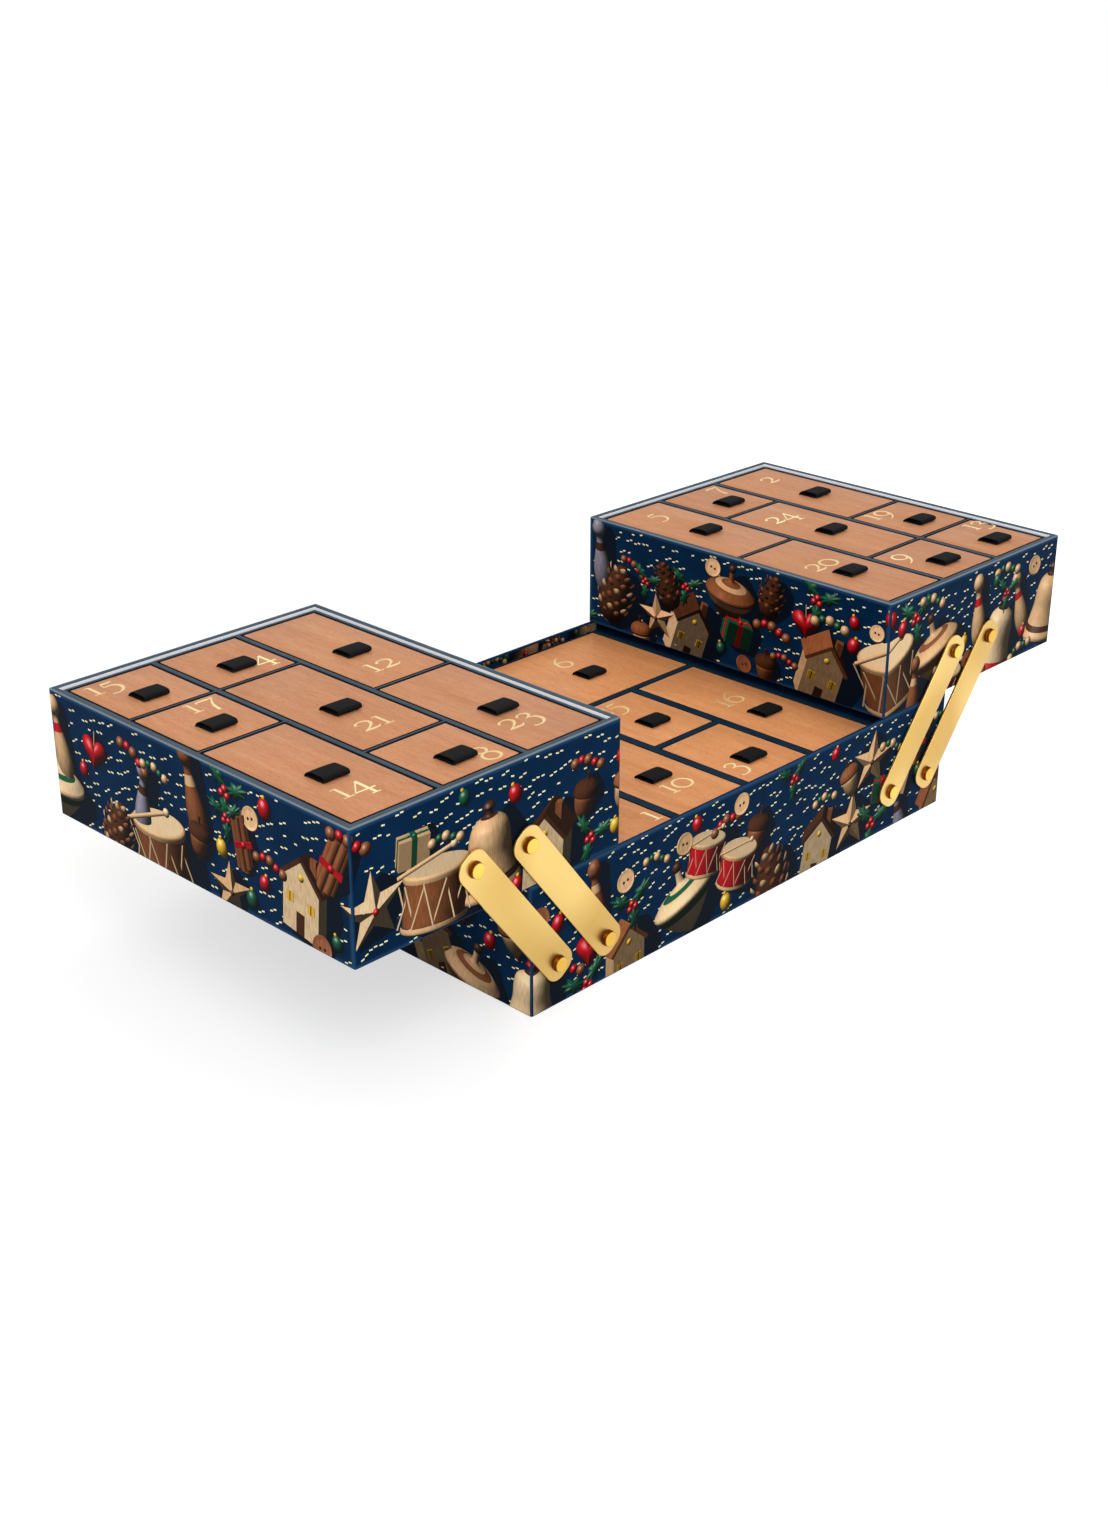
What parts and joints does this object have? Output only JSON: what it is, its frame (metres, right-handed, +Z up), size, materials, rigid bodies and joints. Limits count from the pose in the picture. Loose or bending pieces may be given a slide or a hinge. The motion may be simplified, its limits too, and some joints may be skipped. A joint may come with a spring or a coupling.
{
  "type": "fragrance advent calendar",
  "caption": "Cantilever calendar box: trays swing out sideways on parallel arms over a long base, and numbered lids lift out of every compartment by ribbon loops.",
  "frame": {"origin": "centre of the base box's underside, which is also the bottom centre of the whole open calendar", "axes": "+Z up, +X along the row of boxes from the left tray to the right tray, +Y from the front face to the back face"},
  "size_m": [0.6166, 0.2594, 0.1567],
  "materials": {
    "printed_paper": "satin",
    "navy_paper": "satin",
    "blue_grey_paper": "satin",
    "wood": "satin",
    "ribbon": "matte",
    "gold_foil": "satin",
    "gold_metal": "satin"
  },
  "bodies": {
    "base": {"base_box": "printed_paper", "base_grid": "blue_grey_paper", "base_end_deck_left": "navy_paper", "base_end_deck_right": "navy_paper", "left_front_outer_lower_rivet": "gold_metal", "left_back_outer_lower_rivet": "gold_metal", "left_front_inner_lower_rivet": "gold_metal", "left_back_inner_lower_rivet": "gold_metal", "right_front_outer_lower_rivet": "gold_metal", "right_back_outer_lower_rivet": "gold_metal", "right_front_inner_lower_rivet": "gold_metal", "right_back_inner_lower_rivet": "gold_metal"},
    "left_tray": {"left_tray_box": "printed_paper", "left_tray_grid": "blue_grey_paper", "left_front_outer_upper_rivet": "gold_metal", "left_back_outer_upper_rivet": "gold_metal", "left_front_inner_upper_rivet": "gold_metal", "left_back_inner_upper_rivet": "gold_metal"},
    "left_front_outer_arm": {"left_front_outer_arm": "gold_metal"},
    "left_back_outer_arm": {"left_back_outer_arm": "gold_metal"},
    "left_front_inner_arm": {"left_front_inner_arm": "gold_metal"},
    "left_back_inner_arm": {"left_back_inner_arm": "gold_metal"},
    "right_tray": {"right_tray_box": "printed_paper", "right_tray_grid": "blue_grey_paper", "right_front_outer_upper_rivet": "gold_metal", "right_back_outer_upper_rivet": "gold_metal", "right_front_inner_upper_rivet": "gold_metal", "right_back_inner_upper_rivet": "gold_metal"},
    "right_front_outer_arm": {"right_front_outer_arm": "gold_metal"},
    "right_back_outer_arm": {"right_back_outer_arm": "gold_metal"},
    "right_front_inner_arm": {"right_front_inner_arm": "gold_metal"},
    "right_back_inner_arm": {"right_back_inner_arm": "gold_metal"},
    "lid_1": {"lid_1": "wood"},
    "lid_2": {"lid_2": "wood"},
    "lid_3": {"lid_3": "wood"},
    "lid_4": {"lid_4": "wood"},
    "lid_5": {"lid_5": "wood"},
    "lid_6": {"lid_6": "wood"},
    "lid_7": {"lid_7": "wood"},
    "lid_8": {"lid_8": "wood"},
    "lid_9": {"lid_9": "wood"},
    "lid_10": {"lid_10": "wood"},
    "lid_11": {"lid_11": "wood"},
    "lid_12": {"lid_12": "wood"},
    "lid_13": {"lid_13": "wood"},
    "lid_14": {"lid_14": "wood"},
    "lid_15": {"lid_15": "wood"},
    "lid_16": {"lid_16": "wood"},
    "lid_17": {"lid_17": "wood"},
    "lid_18": {"lid_18": "wood"},
    "lid_19": {"lid_19": "wood"},
    "lid_20": {"lid_20": "wood"},
    "lid_21": {"lid_21": "wood"},
    "lid_22": {"lid_22": "wood"},
    "lid_23": {"lid_23": "wood"},
    "lid_24": {"lid_24": "wood"},
    "lid_25": {"lid_25": "wood"}
  },
  "joints": [
    {"name": "left_tray_swing", "type": "hinge", "parent": "base", "child": "left_front_outer_arm", "pos_m": [-0.1698, -0.1261, 0.027], "axis": [0, -1, 0], "range_deg": [-74.92, 0]},
    {"name": "right_tray_swing", "type": "hinge", "parent": "base", "child": "right_front_outer_arm", "pos_m": [0.1698, -0.1261, 0.027], "axis": [0, 1, 0], "range_deg": [-74.92, 0]},
    {"name": "left_tray_level", "type": "hinge", "parent": "left_front_outer_arm", "child": "left_tray", "pos_m": [-0.2298, -0.1261, 0.1053], "axis": [0, -1, 0], "range_deg": [0, 74.92]},
    {"name": "left_back_outer_arm_pivot", "type": "hinge", "parent": "base", "child": "left_back_outer_arm", "pos_m": [-0.1698, 0.1261, 0.027], "axis": [0, -1, 0], "range_deg": [-74.92, 0]},
    {"name": "left_front_inner_arm_pivot", "type": "hinge", "parent": "base", "child": "left_front_inner_arm", "pos_m": [-0.1313, -0.1261, 0.027], "axis": [0, -1, 0], "range_deg": [-74.92, 0]},
    {"name": "left_back_inner_arm_pivot", "type": "hinge", "parent": "base", "child": "left_back_inner_arm", "pos_m": [-0.1313, 0.1261, 0.027], "axis": [0, -1, 0], "range_deg": [-74.92, 0]},
    {"name": "right_tray_level", "type": "hinge", "parent": "right_front_outer_arm", "child": "right_tray", "pos_m": [0.2298, -0.1261, 0.1053], "axis": [0, 1, 0], "range_deg": [0, 74.92]},
    {"name": "right_back_outer_arm_pivot", "type": "hinge", "parent": "base", "child": "right_back_outer_arm", "pos_m": [0.1698, 0.1261, 0.027], "axis": [0, 1, 0], "range_deg": [-74.92, 0]},
    {"name": "right_front_inner_arm_pivot", "type": "hinge", "parent": "base", "child": "right_front_inner_arm", "pos_m": [0.1313, -0.1261, 0.027], "axis": [0, 1, 0], "range_deg": [-74.92, 0]},
    {"name": "right_back_inner_arm_pivot", "type": "hinge", "parent": "base", "child": "right_back_inner_arm", "pos_m": [0.1313, 0.1261, 0.027], "axis": [0, 1, 0], "range_deg": [-74.92, 0]},
    {"name": "lid_1_lift", "type": "slide", "parent": "base", "child": "lid_1", "axis": [0, 0, 1], "range_m": [0, 0.08]},
    {"name": "lid_2_lift", "type": "slide", "parent": "right_tray", "child": "lid_2", "axis": [0, 0, 1], "range_m": [0, 0.08]},
    {"name": "lid_3_lift", "type": "slide", "parent": "base", "child": "lid_3", "axis": [0, 0, 1], "range_m": [0, 0.08]},
    {"name": "lid_4_lift", "type": "slide", "parent": "left_tray", "child": "lid_4", "axis": [0, 0, 1], "range_m": [0, 0.08]},
    {"name": "lid_5_lift", "type": "slide", "parent": "right_tray", "child": "lid_5", "axis": [0, 0, 1], "range_m": [0, 0.08]},
    {"name": "lid_6_lift", "type": "slide", "parent": "base", "child": "lid_6", "axis": [0, 0, 1], "range_m": [0, 0.08]},
    {"name": "lid_7_lift", "type": "slide", "parent": "right_tray", "child": "lid_7", "axis": [0, 0, 1], "range_m": [0, 0.08]},
    {"name": "lid_8_lift", "type": "slide", "parent": "left_tray", "child": "lid_8", "axis": [0, 0, 1], "range_m": [0, 0.08]},
    {"name": "lid_9_lift", "type": "slide", "parent": "right_tray", "child": "lid_9", "axis": [0, 0, 1], "range_m": [0, 0.08]},
    {"name": "lid_10_lift", "type": "slide", "parent": "base", "child": "lid_10", "axis": [0, 0, 1], "range_m": [0, 0.08]},
    {"name": "lid_11_lift", "type": "slide", "parent": "base", "child": "lid_11", "axis": [0, 0, 1], "range_m": [0, 0.08]},
    {"name": "lid_12_lift", "type": "slide", "parent": "left_tray", "child": "lid_12", "axis": [0, 0, 1], "range_m": [0, 0.08]},
    {"name": "lid_13_lift", "type": "slide", "parent": "right_tray", "child": "lid_13", "axis": [0, 0, 1], "range_m": [0, 0.08]},
    {"name": "lid_14_lift", "type": "slide", "parent": "left_tray", "child": "lid_14", "axis": [0, 0, 1], "range_m": [0, 0.08]},
    {"name": "lid_15_lift", "type": "slide", "parent": "left_tray", "child": "lid_15", "axis": [0, 0, 1], "range_m": [0, 0.08]},
    {"name": "lid_16_lift", "type": "slide", "parent": "base", "child": "lid_16", "axis": [0, 0, 1], "range_m": [0, 0.08]},
    {"name": "lid_17_lift", "type": "slide", "parent": "left_tray", "child": "lid_17", "axis": [0, 0, 1], "range_m": [0, 0.08]},
    {"name": "lid_18_lift", "type": "slide", "parent": "base", "child": "lid_18", "axis": [0, 0, 1], "range_m": [0, 0.08]},
    {"name": "lid_19_lift", "type": "slide", "parent": "right_tray", "child": "lid_19", "axis": [0, 0, 1], "range_m": [0, 0.08]},
    {"name": "lid_20_lift", "type": "slide", "parent": "right_tray", "child": "lid_20", "axis": [0, 0, 1], "range_m": [0, 0.08]},
    {"name": "lid_21_lift", "type": "slide", "parent": "left_tray", "child": "lid_21", "axis": [0, 0, 1], "range_m": [0, 0.08]},
    {"name": "lid_22_lift", "type": "slide", "parent": "base", "child": "lid_22", "axis": [0, 0, 1], "range_m": [0, 0.08]},
    {"name": "lid_23_lift", "type": "slide", "parent": "left_tray", "child": "lid_23", "axis": [0, 0, 1], "range_m": [0, 0.08]},
    {"name": "lid_24_lift", "type": "slide", "parent": "right_tray", "child": "lid_24", "axis": [0, 0, 1], "range_m": [0, 0.08]},
    {"name": "lid_25_lift", "type": "slide", "parent": "base", "child": "lid_25", "axis": [0, 0, 1], "range_m": [0, 0.08]}
  ],
  "couplings": [
    {"joint": "left_tray_level", "follows": "left_tray_swing", "ratio": -1},
    {"joint": "left_back_outer_arm_pivot", "follows": "left_tray_swing", "ratio": 1},
    {"joint": "left_front_inner_arm_pivot", "follows": "left_tray_swing", "ratio": 1},
    {"joint": "left_back_inner_arm_pivot", "follows": "left_tray_swing", "ratio": 1},
    {"joint": "right_tray_level", "follows": "right_tray_swing", "ratio": -1},
    {"joint": "right_back_outer_arm_pivot", "follows": "right_tray_swing", "ratio": 1},
    {"joint": "right_front_inner_arm_pivot", "follows": "right_tray_swing", "ratio": 1},
    {"joint": "right_back_inner_arm_pivot", "follows": "right_tray_swing", "ratio": 1}
  ]
}
